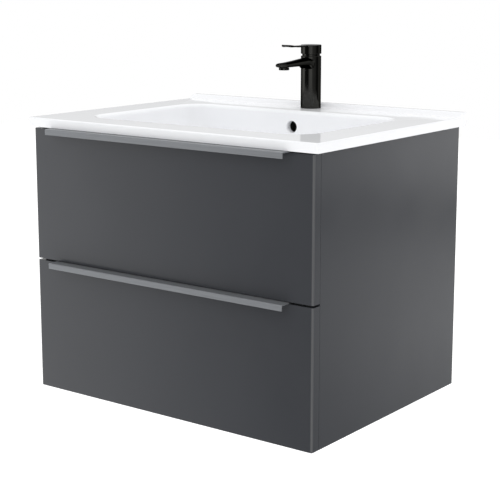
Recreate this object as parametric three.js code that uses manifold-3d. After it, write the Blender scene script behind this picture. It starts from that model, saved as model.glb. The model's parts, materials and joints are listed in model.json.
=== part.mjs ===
// Wall-hung bathroom vanity: a two-drawer cabinet with a ceramic basin and a single-lever tap.
// Millimetres: X from left to right, Y from the front towards the wall, Z up.
// The pieces are laid out from the foot of the drawer fronts. The group is then moved so that
// the origin lies on the wall, at the middle of the steel rail that the cabinet hangs on.
import * as THREE from "three";
import { mergeVertices } from "three/addons/utils/BufferGeometryUtils.js";
import Module from "manifold-3d";

const wasm = await Module();
wasm.setup();

// Driving dimensions.
const CABINET_WIDTH = 590;
const CABINET_DEPTH = 450;
const CABINET_HEIGHT = 470;
const BOARD = 16; // thickness of the carcass boards
const FIT = 0.3; // gap between two pieces that meet

const FRONT_THICKNESS = 18;
const FRONT_EDGE_RADIUS = 3;
const FRONT_SEAM = 1; // between a drawer front and the carcass behind it
const LOWER_FRONT = { bottom: 0, top: 231.5 };
const UPPER_FRONT = { bottom: 235, top: 466.5 };

const HANDLE_LENGTH = 500;
const HANDLE_REACH = 19.5; // how far it stands out in front of the drawer front
const HANDLE_LIP = 10;
const HANDLE_GAUGE = 1.9;
const HANDLE_SEAT = 14; // how far it lies back on the front's top edge

const BASIN_WIDTH = 610;
const BASIN_FRONT = -5;
const BASIN_BACK = 459.7;
const BASIN_EDGE = 15; // height of the edge that is seen
const BASIN_EDGE_RADIUS = 2.5;
const BASIN_CORNER = 4;
const BASIN_WALL = 9;
const RIM = CABINET_HEIGHT + BASIN_EDGE;
const BOWL = { halfWidth: 228, front: 66, back: 360.5, corner: 42, depth: 110 };
const BOWL_SLOPE = { side: 110, front: 45, back: 30 }; // how far each wall runs in before the floor
const DRAIN = { y: 209, radius: 23, level: RIM - 112 };
const OVERFLOW = { z: 455, radius: 10.5, depth: 26 };
const UPSTAND = { foot: 441, crest: 447.5, height: 8 };

const TAP = { y: 421.5, radius: 18.8, hole: 17.5, top: 581.4, foot: RIM + 0.7 };
const TAP_NECK = { radius: 16.5, top: 585 };
const SPOUT = { tip: 318, tipRadius: 12, rootHalfWidth: 16, underside: 564.3, tipTop: 572.8, rootTop: 580 };
const AERATOR = { y: 335.5, radius: 9.4, bottom: 559.8 };
const CAP = { radius: 19, bottom: 585.3, top: 601.7, wall: 1.5 };
const LEVER = { tip: 333, thickness: 3, tipThickness: 4.1, rise: 3.3 };
const PADDLE = { y: 350, halfWidth: 10 }; // the lever's widest place
const WAIST = { y: 372, halfWidth: 6.2 };

const WALL = 460;
const RAIL_MIDDLE = 410;

const BOX_BOARD = 15; // thickness of the drawer box boards
const BOX_BOTTOM = 12;
const BOX_LENGTH = 400;
const BOX_HALF_WIDTH = 266.3;
const LOWER_BOX = { bottom: 24, top: 174 };
const UPPER_BOX = { bottom: 250, top: 340 };
const NOTCH = { halfWidth: 80, front: 130, wall: 12 }; // leaves room for the waste pipe
const RUNNER_LENGTH = 400;
const LOWER_RUNNER_Z = 96;
const UPPER_RUNNER_Z = 292;

// Where the boards meet, worked out from the sizes above.
const HALF_WIDTH = CABINET_WIDTH / 2;
const INNER_HALF_WIDTH = HALF_WIDTH - BOARD;
const CARCASS_FRONT = FRONT_THICKNESS + FRONT_SEAM;
const CARCASS_TOP = CABINET_HEIGHT - FIT;
const BOX_FRONT = FRONT_THICKNESS + FIT;
const BOX_BACK = BOX_FRONT + BOX_LENGTH;
const BOX_INNER_HALF_WIDTH = BOX_HALF_WIDTH - BOX_BOARD;
const RUNNER_FRONT = CARCASS_FRONT + 2;

const ROUND_SEGMENTS = 36;
const CORNER_STEPS = 6;
const UPRIGHT_POINTS = 24;

const gloss = (color, metalness = 0) => ({ color, metalness, roughness: 0.2 });
const satin = (color, metalness = 0) => ({ color, metalness, roughness: 0.45 });
const material = (look) => new THREE.MeshStandardMaterial(look);
const graphiteGloss = material(gloss(0x54565b));
const graphiteBoard = material(satin(0x5a5a5c));
const boxBoard = material(satin(0x8d8f92));
const ceramic = material(gloss(0xf2f3f5));
const blackMetal = material(gloss(0x17181a, 0.6));
const handleMetal = material(satin(0x7b7d81, 0.8));
const steel = material(satin(0xb9bcc0, 0.9));
const brass = material(satin(0xb59a5c, 0.9));
const rubber = material({ color: 0x202124, roughness: 0.8 });
const plastic = material(satin(0xd9d9d6));

const vanity = new THREE.Group();

function add(name, geometry, look) {
  const mesh = new THREE.Mesh(geometry, look);
  mesh.name = name;
  vanity.add(mesh);
}

// ---- Shapes ----

function block([x0, x1], [y0, y1], [z0, z1]) {
  const box = new THREE.BoxGeometry(x1 - x0, y1 - y0, z1 - z0);
  return box.translate((x0 + x1) / 2, (y0 + y1) / 2, (z0 + z1) / 2);
}

function outline(corners) {
  return new THREE.Shape(corners.map(([u, v]) => new THREE.Vector2(u, v)));
}

function extrude(shape, length, arcSteps = 3) {
  return new THREE.ExtrudeGeometry(shape, { depth: length, bevelEnabled: false, curveSegments: arcSteps });
}

// A plan outline (x, y) raised from z0 to z1.
function raised(shape, z0, z1, arcSteps) {
  return extrude(shape, z1 - z0, arcSteps).translate(0, 0, z0);
}

// A side outline (y, z) drawn out from x0 to x1.
function drawnAlongX(shape, x0, x1) {
  const turn = new THREE.Matrix4().set(0, 0, 1, x0, 1, 0, 0, 0, 0, 1, 0, 0, 0, 0, 0, 1);
  return extrude(shape, x1 - x0).applyMatrix4(turn);
}

// A front outline (x, z) drawn out from y0 to y1.
function drawnAlongY(shape, y0, y1) {
  return extrude(shape, y1 - y0).rotateX(Math.PI / 2).translate(0, y1, 0);
}

// A profile of [radius, z] points turned about the upright line through (x, y).
function turned(profile, x = 0, y = 0) {
  const points = profile.map(([radius, z]) => new THREE.Vector2(radius, z));
  return new THREE.LatheGeometry(points, ROUND_SEGMENTS).rotateX(Math.PI / 2).translate(x, y, 0);
}

function rod(radius, z0, z1, x = 0, y = 0) {
  return turned([[0, z0], [radius, z0], [radius, z1], [0, z1]], x, y);
}

function pipe(inner, outer, z0, z1, x = 0, y = 0) {
  return turned([[inner, z0], [outer, z0], [outer, z1], [inner, z1], [inner, z0]], x, y);
}

// A hexagonal nut: its radius is to the corners.
function nut(radius, hole, z0, z1, x, y) {
  const corners = Array.from({ length: 6 }, (_, i) => i * Math.PI / 3);
  const hexagon = outline(corners.map((a) => [x + radius * Math.cos(a), y + radius * Math.sin(a)]));
  hexagon.holes.push(new THREE.Path().absarc(x, y, hole, 0, 2 * Math.PI, true));
  return raised(hexagon, z0, z1, ROUND_SEGMENTS / 2);
}

function solidOf(geometry) {
  const bare = geometry.clone();
  bare.deleteAttribute("normal");
  bare.deleteAttribute("uv");
  const merged = mergeVertices(bare, 1e-4);
  return new wasm.Manifold(new wasm.Mesh({
    numProp: 3,
    vertProperties: merged.attributes.position.array,
    triVerts: new Uint32Array(merged.index.array),
  }));
}

function geometryOf(solid) {
  const { vertProperties, triVerts } = solid.getMesh();
  const geometry = new THREE.BufferGeometry();
  geometry.setAttribute("position", new THREE.BufferAttribute(vertProperties, 3));
  geometry.setIndex(new THREE.BufferAttribute(triVerts, 1));
  geometry.computeVertexNormals();
  return geometry;
}

// A level ring of points round a rectangle with round corners. Every ring has the same count.
function ring([x0, x1], [y0, y1], corner, z) {
  const centres = [[x1, y0, -90, -1, 1], [x1, y1, 0, -1, -1], [x0, y1, 90, 1, -1], [x0, y0, 180, 1, 1]];
  return centres.flatMap(([x, y, start, inX, inY]) =>
    Array.from({ length: CORNER_STEPS + 1 }, (_, i) => {
      const angle = THREE.MathUtils.degToRad(start + (90 * i) / CORNER_STEPS);
      const centre = new THREE.Vector3(x + inX * corner, y + inY * corner, z);
      return centre.add(new THREE.Vector3(Math.cos(angle), Math.sin(angle), 0).multiplyScalar(corner));
    }));
}

// Joins each ring to the next. A loop joins the last to the first; otherwise the ends are capped.
function skin(rings, loop) {
  const count = rings[0].length;
  const points = rings.flat();
  const index = [];
  const strips = loop ? rings.length : rings.length - 1;
  for (let i = 0; i < strips; i++) {
    for (let j = 0; j < count; j++) {
      const [a, b] = [i * count + j, i * count + ((j + 1) % count)];
      const [c, d] = [a, b].map((k) => (k + count) % (rings.length * count));
      index.push(a, b, d, a, d, c);
    }
  }
  if (!loop) {
    for (const [row, flip] of [[0, true], [rings.length - 1, false]]) {
      const middle = points.length;
      points.push(rings[row].reduce((sum, p) => sum.add(p), new THREE.Vector3()).divideScalar(count));
      for (let j = 0; j < count; j++) {
        const [a, b] = [row * count + j, row * count + ((j + 1) % count)];
        index.push(middle, flip ? b : a, flip ? a : b);
      }
    }
  }
  return new THREE.BufferGeometry().setFromPoints(points).setIndex(index);
}

// ---- Carcass ----

function addCarcass() {
  const depth = [CARCASS_FRONT, CABINET_DEPTH];
  const between = [-INNER_HALF_WIDTH + FIT, INNER_HALF_WIDTH - FIT];
  const atBack = [CABINET_DEPTH - BOARD, CABINET_DEPTH];
  const railDepth = 33;
  const upperRail = [RAIL_MIDDLE - 34, RAIL_MIDDLE + 26];
  const lowerRailHeight = 60;
  add("side_panel_left", block([-HALF_WIDTH, -INNER_HALF_WIDTH], depth, [0, CARCASS_TOP]), graphiteGloss);
  add("side_panel_right", block([INNER_HALF_WIDTH, HALF_WIDTH], depth, [0, CARCASS_TOP]), graphiteGloss);
  add("bottom_panel", block(between, depth, [0, BOARD]), graphiteBoard);
  add("front_rail", block(between, [CARCASS_FRONT, CARCASS_FRONT + railDepth],
    [CARCASS_TOP - BOARD, CARCASS_TOP]), graphiteBoard);
  add("back_rail_upper", block(between, atBack, upperRail), graphiteBoard);
  add("back_rail_lower", block(between, atBack, [BOARD + FIT, BOARD + lowerRailHeight]), graphiteBoard);
}

// A folded steel rail screwed to the wall: its lip stands up, and the hangers hook over it.
function addHanging() {
  const halfLength = 275;
  const gauge = 2;
  const lipFront = WALL - 9;
  const lipTop = RAIL_MIDDLE + 37;
  const foldTop = RAIL_MIDDLE + 25;
  const rail = outline([
    [WALL, RAIL_MIDDLE - 25], [WALL, foldTop], [lipFront + gauge, foldTop], [lipFront + gauge, lipTop],
    [lipFront, lipTop], [lipFront, foldTop - gauge], [WALL - gauge, foldTop - gauge],
    [WALL - gauge, RAIL_MIDDLE - 25],
  ]);
  add("wall_rail", drawnAlongX(rail, -halfLength, halfLength), steel);

  const housingFront = 395;
  const housingBack = CABINET_DEPTH - BOARD - FIT;
  const armTop = lipTop + 6;
  const hookFront = lipFront + gauge + FIT;
  const hanger = outline([
    [housingFront, RAIL_MIDDLE - 25], [housingBack, RAIL_MIDDLE - 25], [housingBack, lipTop + FIT],
    [hookFront, lipTop + FIT], [hookFront, lipTop - 8], [hookFront + 3, lipTop - 8],
    [hookFront + 3, armTop], [housingFront, armTop],
  ]);
  const thickness = 10;
  const screwHeight = RAIL_MIDDLE + 10;
  for (const [side, sign] of [["left", -1], ["right", 1]]) {
    const far = sign * (INNER_HALF_WIDTH - FIT);
    const near = far - sign * thickness;
    add("hanger_" + side, drawnAlongX(hanger, Math.min(near, far), Math.max(near, far)), steel);
    const screw = rod(3.5, 0, 4).rotateX(Math.PI / 2);
    add("hanger_screw_" + side, screw.translate((near + far) / 2, housingFront - FIT, screwHeight), steel);
  }
}

// ---- Basin and waste ----

// The bowl's ring at an angle from 0 at the rim to 90 degrees at the floor, grown by a thickness.
function bowlRing(degrees, grow) {
  const angle = THREE.MathUtils.degToRad(degrees);
  const run = 1 - Math.cos(angle);
  const half = BOWL.halfWidth + grow - BOWL_SLOPE.side * run;
  const front = BOWL.front - grow + BOWL_SLOPE.front * run;
  const back = BOWL.back + grow - BOWL_SLOPE.back * run;
  return ring([-half, half], [front, back], BOWL.corner + grow, RIM - (BOWL.depth + grow) * Math.sin(angle));
}

function rimRing(inset, z, corner = BASIN_CORNER) {
  const half = BASIN_WIDTH / 2 - inset;
  return ring([-half, half], [BASIN_FRONT + inset, BASIN_BACK - inset], corner, z);
}

function drainRing(z) {
  const { y, radius } = DRAIN;
  return ring([-radius, radius], [y - radius, y + radius], radius, z);
}

function openingRing(outset, z) {
  const half = BOWL.halfWidth + outset;
  return ring([-half, half], [BOWL.front - outset, BOWL.back + outset], BOWL.corner + outset, z);
}

function addBasin() {
  const under = CABINET_HEIGHT;
  const bottom = RIM - BOWL.depth - BASIN_WALL;
  const startOfShell = THREE.MathUtils.radToDeg(Math.asin(BASIN_EDGE / (BOWL.depth + BASIN_WALL)));
  const shellAngles = Array.from({ length: 6 }, (_, i) => 90 - ((90 - startOfShell) * i) / 5);
  const rings = [
    drainRing(bottom),
    ...shellAngles.map((angle) => bowlRing(angle, BASIN_WALL)),
    rimRing(1, under),
    rimRing(0, under + 1),
    rimRing(0, RIM - BASIN_EDGE_RADIUS),
    rimRing(BASIN_EDGE_RADIUS * 0.3, RIM - BASIN_EDGE_RADIUS * 0.3),
    rimRing(BASIN_EDGE_RADIUS, RIM),
    openingRing(6, RIM),
    openingRing(1.5, RIM - 2),
    ...[5, 15, 30, 45, 60, 75, 90].map((angle) => bowlRing(angle, 0)),
    drainRing(DRAIN.level),
  ];
  const upstandTop = RIM + UPSTAND.height;
  const upstand = outline([
    [UPSTAND.foot, RIM - 5], [BASIN_BACK, RIM - 5], [BASIN_BACK, upstandTop - 2],
    [BASIN_BACK - 2, upstandTop], [UPSTAND.crest, upstandTop], [UPSTAND.foot + 3, RIM + 4],
    [UPSTAND.foot, RIM],
  ]);
  const half = BASIN_WIDTH / 2;
  const trim = skin([rimRing(0, bottom - 1), rimRing(0, upstandTop + 1)], false);
  const boss = block([-24, 24], [BOWL.back + 3, BOWL.back + OVERFLOW.depth + 6], [428, under + 2]);
  const overflow = rod(OVERFLOW.radius, 0, OVERFLOW.depth + 12).rotateX(-Math.PI / 2)
    .translate(0, BOWL.back - 12, OVERFLOW.z);
  const tapHole = rod(TAP.hole, under - 5, RIM + 5, 0, TAP.y);
  add("basin", geometryOf(solidOf(skin(rings, true))
    .add(solidOf(drawnAlongX(upstand, -half, half)))
    .intersect(solidOf(trim))
    .add(solidOf(boss))
    .subtract(solidOf(overflow))
    .subtract(solidOf(tapHole))), ceramic);
}

function addWaste() {
  const seat = DRAIN.level + FIT;
  const under = RIM - BOWL.depth - BASIN_WALL;
  const thread = 20.95;
  const bore = 17;
  const tail = 295;
  const bridge = [345, 352];
  const { y } = DRAIN;
  const tube = turned([
    [bore, tail], [thread, tail], [thread, seat], [34, seat], [34, seat + 1.2], [31, seat + 2.5],
    [bore + 3, seat + 2.5], [bore, seat - 2], [bore, tail],
  ], 0, y);
  const spider = block([-bore - 1, bore + 1], [y - 4, y + 4], bridge);
  const stemHole = rod(5.3, bridge[0] - 1, bridge[1] + 1, 0, y);
  const body = solidOf(tube).add(solidOf(spider)).subtract(solidOf(stemHole));
  add("waste_body", geometryOf(body), blackMetal);
  const capUnder = seat + 3.2;
  add("waste_plug", turned([
    [0, 342], [5, 342], [5, capUnder], [29, capUnder], [31, capUnder + 1.2], [30, capUnder + 3],
    [22, capUnder + 4.6], [10, capUnder + 5.4], [0, capUnder + 5.6],
  ], 0, y), blackMetal);
  const gasketUnder = under - FIT - 3.2;
  add("waste_gasket", pipe(thread + FIT, 32, gasketUnder, under - FIT, 0, y), rubber);
  add("waste_nut", nut(33, thread + FIT, gasketUnder - FIT - 9, gasketUnder - FIT, 0, y), steel);
}

// ---- Tap ----

// An upright ring across the spout or the lever: a rounded box whose crown may be rounder than its base.
function uprightRing(y, halfWidth, bottom, top, crown, base) {
  const reach = (angle) => [Math.cos(angle), Math.sin(angle)];
  const squared = (value, power) => Math.sign(value) * Math.abs(value) ** (2 / power);
  return Array.from({ length: UPRIGHT_POINTS }, (_, i) => {
    const [across, up] = reach((2 * Math.PI * i) / UPRIGHT_POINTS);
    const power = up >= 0 ? crown : base;
    const z = (bottom + top) / 2 + (squared(up, power) * (top - bottom)) / 2;
    return new THREE.Vector3(squared(across, power) * halfWidth, y, z);
  });
}

function spoutGeometry() {
  const { tip, tipRadius, rootHalfWidth, underside, tipTop, rootTop } = SPOUT;
  const root = TAP.y - 6;
  const centre = tip + tipRadius;
  const crown = 2.2;
  const base = 4;
  const straight = Array.from({ length: 7 }, (_, i) => i / 6);
  const rings = straight.reverse().map((share) => uprightRing(
    THREE.MathUtils.lerp(centre, root, share),
    THREE.MathUtils.lerp(tipRadius, rootHalfWidth, share),
    underside, tipTop + (rootTop - tipTop) * share ** 1.6, crown, base));
  for (const angle of [25, 50, 70, 84]) {
    const turn = THREE.MathUtils.degToRad(angle);
    const pinch = 4 * (1 - Math.cos(turn));
    rings.push(uprightRing(centre - tipRadius * Math.sin(turn), tipRadius * Math.cos(turn),
      underside + pinch * 0.8, tipTop - pinch * 1.2, crown, base));
  }
  return skin(rings, false);
}

function addTap() {
  const { y, radius, top, foot } = TAP;
  const cartridge = { radius: 14, bottom: 545 };
  const bodyProfile = [[0, foot], [radius, foot], [radius, top - 1], [radius - 1, top], [0, top]];
  const pocket = rod(cartridge.radius + FIT, cartridge.bottom - FIT, top + 1, 0, y);
  const aeratorSocket = rod(AERATOR.radius - 1.5, AERATOR.bottom, AERATOR.bottom + 7, 0, AERATOR.y);
  const body = solidOf(turned(bodyProfile, 0, y)).add(solidOf(spoutGeometry()))
    .subtract(solidOf(pocket)).subtract(solidOf(aeratorSocket));
  add("tap_body", geometryOf(body), blackMetal);

  const seat = SPOUT.underside - FIT;
  const spigot = AERATOR.radius - 1.5 - FIT;
  add("tap_aerator", turned([
    [0, AERATOR.bottom + 1.5], [AERATOR.radius - 2.5, AERATOR.bottom + 1.5],
    [AERATOR.radius - 2.5, AERATOR.bottom], [AERATOR.radius, AERATOR.bottom],
    [AERATOR.radius, seat], [spigot, seat], [spigot, AERATOR.bottom + 6], [0, AERATOR.bottom + 6],
  ], 0, AERATOR.y), blackMetal);

  add("tap_cartridge", rod(cartridge.radius, cartridge.bottom, top, 0, y), plastic);
  add("tap_neck_ring", pipe(8, TAP_NECK.radius, top + FIT, TAP_NECK.top, 0, y), blackMetal);
  add("tap_gasket", pipe(15, radius, RIM + 0.15, foot - 0.15, 0, y), rubber);
}

// Under the deck a stud pulls a half-moon plate up against it; the two inlets pass behind.
function addTapFixing() {
  const stud = { x: 0, y: TAP.y - 12, radius: 3 };
  const plateRadius = 24;
  const plateEdge = -6;
  const reach = Math.acos(plateEdge / plateRadius) - Math.PI / 2;
  const halfMoon = new THREE.Shape();
  halfMoon.absarc(0, TAP.y, plateRadius, Math.PI + reach, 2 * Math.PI - reach, false);
  halfMoon.closePath();
  halfMoon.holes.push(new THREE.Path().absarc(stud.x, stud.y, stud.radius + FIT, 0, 2 * Math.PI, true));
  const deckUnder = CABINET_HEIGHT - FIT;
  add("tap_washer", raised(halfMoon, deckUnder - 2, deckUnder, 12), rubber);
  add("tap_plate", raised(halfMoon, deckUnder - 4.6, deckUnder - 2.3, 12), steel);
  add("tap_nut", nut(6.5, stud.radius + FIT, deckUnder - 11.4, deckUnder - 4.9, stud.x, stud.y), brass);
  const underBody = TAP.foot - FIT;
  add("tap_stud", rod(stud.radius, deckUnder - 34, underBody, stud.x, stud.y), brass);
  for (const [name, x] of [["hot", -8.5], ["cold", 8.5]]) {
    add("tap_inlet_" + name, rod(5, deckUnder - 22, underBody, x, TAP.y + 5), brass);
  }
}

// Half the lever's width: an ellipse at the tip, a waist, and a root as wide as the cap lets it be.
function leverHalfWidth(y, root) {
  if (y < PADDLE.y) return PADDLE.halfWidth * Math.sqrt(1 - ((PADDLE.y - y) / (PADDLE.y - LEVER.tip)) ** 2);
  const [from, to] = y < WAIST.y ? [PADDLE, WAIST] : [WAIST, root];
  const share = THREE.MathUtils.smoothstep(y, from.y, to.y);
  return THREE.MathUtils.lerp(from.halfWidth, to.halfWidth, share);
}

function leverGeometry() {
  const root = { y: TAP.y - 6, halfWidth: 12 };
  const stations = [0.2, 1.5, 4, 8, 13, 20, 26, 31, 36, 42, 52, 62, 72, root.y - LEVER.tip];
  const rings = stations.reverse().map((along) => {
    const y = LEVER.tip + along;
    const towardsTip = 1 - THREE.MathUtils.smoothstep(y, LEVER.tip, WAIST.y);
    const top = CAP.top + LEVER.rise * towardsTip;
    const thickness = THREE.MathUtils.lerp(LEVER.thickness, LEVER.tipThickness, towardsTip);
    return uprightRing(y, leverHalfWidth(y, root), top - thickness, top, 3, 3);
  });
  return skin(rings, false);
}

function addLever() {
  const { y } = TAP;
  const { radius, bottom, top, wall } = CAP;
  const inner = radius - wall;
  const ceiling = top - 4.5;
  add("tap_spindle", rod(5, TAP.top + FIT, ceiling - 2, 0, y), brass);
  const cap = turned([
    [0, ceiling], [inner, ceiling], [inner, bottom], [radius, bottom],
    [radius, top - 1], [radius - 1, top], [0, top],
  ], 0, y);
  add("tap_lever", geometryOf(solidOf(cap).add(solidOf(leverGeometry()))), blackMetal);
}

// ---- Drawers ----

// A front with its two upright front edges rounded.
function frontGeometry({ bottom, top }) {
  const r = FRONT_EDGE_RADIUS;
  const shape = new THREE.Shape();
  shape.moveTo(-HALF_WIDTH, FRONT_THICKNESS);
  shape.lineTo(-HALF_WIDTH, r);
  shape.absarc(-HALF_WIDTH + r, r, r, Math.PI, 1.5 * Math.PI, false);
  shape.lineTo(HALF_WIDTH - r, 0);
  shape.absarc(HALF_WIDTH - r, r, r, 1.5 * Math.PI, 2 * Math.PI, false);
  shape.lineTo(HALF_WIDTH, FRONT_THICKNESS);
  return raised(shape, bottom, top);
}

// An angle profile lying on the front's top edge, with its lip turned down in front.
function handleGeometry(seat) {
  const under = seat + FIT;
  const top = under + HANDLE_GAUGE;
  const profile = outline([
    [-HANDLE_REACH, top - HANDLE_LIP], [-HANDLE_REACH + HANDLE_GAUGE, top - HANDLE_LIP],
    [-HANDLE_REACH + HANDLE_GAUGE, under], [HANDLE_SEAT, under], [HANDLE_SEAT, top], [-HANDLE_REACH, top],
  ]);
  return drawnAlongX(profile, -HANDLE_LENGTH / 2, HANDLE_LENGTH / 2);
}

// What the two drawers share: front, handle, the box's sides and its front board.
function addDrawerShell(drawer, front, box) {
  const inner = BOX_INNER_HALF_WIDTH;
  const height = [box.bottom, box.top];
  add(drawer + "_front", frontGeometry(front), graphiteGloss);
  add(drawer + "_handle", handleGeometry(front.top), handleMetal);
  add(drawer + "_side_left", block([-BOX_HALF_WIDTH, -inner], [BOX_FRONT, BOX_BACK], height), boxBoard);
  add(drawer + "_side_right", block([inner, BOX_HALF_WIDTH], [BOX_FRONT, BOX_BACK], height), boxBoard);
  add(drawer + "_box_front",
    block([-inner + FIT, inner - FIT], [BOX_FRONT, BOX_FRONT + BOX_BOARD], height), boxBoard);
}

function addLowerDrawer() {
  const inner = BOX_INNER_HALF_WIDTH - FIT;
  const { bottom, top } = LOWER_BOX;
  const floor = bottom + BOX_BOTTOM;
  addDrawerShell("lower_drawer", LOWER_FRONT, LOWER_BOX);
  add("lower_drawer_bottom",
    block([-inner, inner], [BOX_FRONT + BOX_BOARD + FIT, BOX_BACK], [bottom, floor]), boxBoard);
  add("lower_drawer_back",
    block([-inner, inner], [BOX_BACK - BOX_BOARD, BOX_BACK], [floor + FIT, top]), boxBoard);
}

// The upper drawer is notched from the back, so that it clears the waste pipe as it slides.
function addUpperDrawer() {
  const inner = BOX_INNER_HALF_WIDTH - FIT;
  const { halfWidth, front, wall } = NOTCH;
  const { bottom, top } = UPPER_BOX;
  const floor = bottom + BOX_BOTTOM;
  const boxInside = BOX_FRONT + BOX_BOARD + FIT;
  const backFace = BOX_BACK - BOX_BOARD;
  addDrawerShell("upper_drawer", UPPER_FRONT, UPPER_BOX);
  add("upper_drawer_bottom", raised(outline([
    [-inner, boxInside], [inner, boxInside], [inner, BOX_BACK], [halfWidth, BOX_BACK], [halfWidth, front],
    [-halfWidth, front], [-halfWidth, BOX_BACK], [-inner, BOX_BACK],
  ]), bottom, floor), boxBoard);
  const surround = outline([
    [-halfWidth - wall, front - wall], [halfWidth + wall, front - wall], [halfWidth + wall, backFace - FIT],
    [halfWidth, backFace - FIT], [halfWidth, front], [-halfWidth, front], [-halfWidth, backFace - FIT],
    [-halfWidth - wall, backFace - FIT],
  ]);
  add("upper_drawer_notch_wall", raised(surround, floor + FIT, top), boxBoard);
  const back = [backFace, BOX_BACK];
  add("upper_drawer_back_left", block([-inner, -halfWidth], back, [floor + FIT, top]), boxBoard);
  add("upper_drawer_back_right", block([halfWidth, inner], back, [floor + FIT, top]), boxBoard);
}

// ---- Runners ----

// A channel section with its web at one side and its two flanges reaching to the other.
function channel(web, tips, halfHeight, z) {
  const gauge = 1.2 * Math.sign(tips - web);
  const inside = halfHeight - 1.2;
  return outline([
    [web, z - halfHeight], [tips, z - halfHeight], [tips, z - inside], [web + gauge, z - inside],
    [web + gauge, z + inside], [tips, z + inside], [tips, z + halfHeight], [web, z + halfHeight],
  ]);
}

function addRunners(drawer, z) {
  const cabinetSide = INNER_HALF_WIDTH - FIT;
  const drawerSide = BOX_HALF_WIDTH + FIT;
  for (const [side, sign] of [["left", -1], ["right", 1]]) {
    const members = [
      ["_runner_outer_", cabinetSide, cabinetSide - 9, 22.5],
      ["_runner_middle_", cabinetSide - 1.9, cabinetSide - 10.4, 18.7],
      ["_runner_inner_", drawerSide, drawerSide + 7.8, 14.7],
    ];
    for (const [part, web, tips, halfHeight] of members) {
      const section = channel(sign * web, sign * tips, halfHeight, z);
      add(drawer + part + side, drawnAlongY(section, RUNNER_FRONT, RUNNER_FRONT + RUNNER_LENGTH), steel);
    }
  }
}

addCarcass();
addHanging();
addBasin();
addWaste();
addTap();
addTapFixing();
addLever();
addLowerDrawer();
addUpperDrawer();
addRunners("lower_drawer", LOWER_RUNNER_Z);
addRunners("upper_drawer", UPPER_RUNNER_Z);

vanity.position.set(0, -WALL, -RAIL_MIDDLE);

export default vanity;
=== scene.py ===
# Wall-hung bathroom vanity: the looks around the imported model.
# Metres in the model's frame: X to the right, Y into the wall, Z up, origin on the wall at the rail.
# The fine pieces are drawn in millimetres from the middle of the lower front's bottom edge.
import json
import math

import bmesh
import bpy
from mathutils import Matrix, Vector


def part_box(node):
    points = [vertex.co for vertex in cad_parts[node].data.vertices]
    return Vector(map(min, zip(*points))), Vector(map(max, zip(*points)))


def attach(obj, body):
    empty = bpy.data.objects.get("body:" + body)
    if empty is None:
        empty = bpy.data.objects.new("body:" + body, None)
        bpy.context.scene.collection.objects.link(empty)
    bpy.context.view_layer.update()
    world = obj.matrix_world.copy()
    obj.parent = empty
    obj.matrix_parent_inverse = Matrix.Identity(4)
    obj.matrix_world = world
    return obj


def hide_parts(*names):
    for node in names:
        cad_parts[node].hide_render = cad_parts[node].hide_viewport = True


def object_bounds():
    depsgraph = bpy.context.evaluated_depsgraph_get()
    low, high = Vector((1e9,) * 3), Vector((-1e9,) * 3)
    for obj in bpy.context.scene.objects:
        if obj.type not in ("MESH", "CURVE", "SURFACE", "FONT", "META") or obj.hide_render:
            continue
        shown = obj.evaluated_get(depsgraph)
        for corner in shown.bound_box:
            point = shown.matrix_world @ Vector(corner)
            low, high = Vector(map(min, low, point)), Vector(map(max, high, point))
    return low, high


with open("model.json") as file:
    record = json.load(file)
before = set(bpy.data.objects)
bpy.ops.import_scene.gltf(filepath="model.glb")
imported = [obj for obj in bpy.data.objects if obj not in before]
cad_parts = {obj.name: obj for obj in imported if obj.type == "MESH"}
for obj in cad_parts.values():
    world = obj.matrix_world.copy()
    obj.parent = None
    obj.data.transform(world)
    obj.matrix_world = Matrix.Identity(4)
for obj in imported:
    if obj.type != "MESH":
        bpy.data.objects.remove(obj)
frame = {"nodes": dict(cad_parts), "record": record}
cad_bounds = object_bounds()
scene = bpy.context.scene

MM = 0.001
FRONT_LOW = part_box("lower_drawer_front")[0]
FOOT = Vector((0, FRONT_LOW.y, FRONT_LOW.z))
TO_FRAME = Matrix.Translation(FOOT) @ Matrix.Scale(MM, 4)

SLOT_OF = {part["node"]: part["material_slot"] for part in frame["record"]["subparts"]}
BODY_OF = {node: body for body, nodes in frame["record"]["behaviour"]["bodies"].items() for node in nodes}


# ---- Where things are, from the frame ----

def span(node):
    """A node's lowest and highest corners, in millimetres."""
    low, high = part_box(node)
    return (low - FOOT) / MM, (high - FOOT) / MM


def middle(node):
    low, high = span(node)
    return (low + high) / 2


# ---- Materials ----

def material(name):
    made = bpy.data.materials.new(name)
    made.use_nodes = True
    tree = made.node_tree
    return made, tree.nodes, tree.links, tree.nodes["Principled BSDF"]


def object_space(nodes, links, stretch):
    """Object coordinates, scaled by stretch in cycles per metre along each axis."""
    place = nodes.new("ShaderNodeTexCoord")
    mapping = nodes.new("ShaderNodeMapping")
    mapping.inputs["Scale"].default_value = stretch
    links.new(place.outputs["Object"], mapping.inputs["Vector"])
    return mapping.outputs["Vector"]


def noise(nodes, links, vector, scale=1.0, detail=2.0):
    made = nodes.new("ShaderNodeTexNoise")
    made.inputs["Scale"].default_value = scale
    made.inputs["Detail"].default_value = detail
    links.new(vector, made.inputs["Vector"])
    return made.outputs["Fac"]


def ramp(nodes, links, value, stops):
    """A colour ramp: stops are (position, grey or colour)."""
    made = nodes.new("ShaderNodeValToRGB")
    elements = made.color_ramp.elements
    while len(elements) < len(stops):
        elements.new(0.5)
    for element, (position, colour) in zip(elements, stops):
        element.position = position
        element.color = (*colour, 1) if isinstance(colour, tuple) else (colour, colour, colour, 1)
    links.new(value, made.inputs["Fac"])
    return made.outputs["Color"]


def bump(nodes, links, shader, height, distance, strength=1.0):
    made = nodes.new("ShaderNodeBump")
    made.inputs["Strength"].default_value = strength
    made.inputs["Distance"].default_value = distance
    links.new(height, made.inputs["Height"])
    links.new(made.outputs["Normal"], shader.inputs["Normal"])


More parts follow.
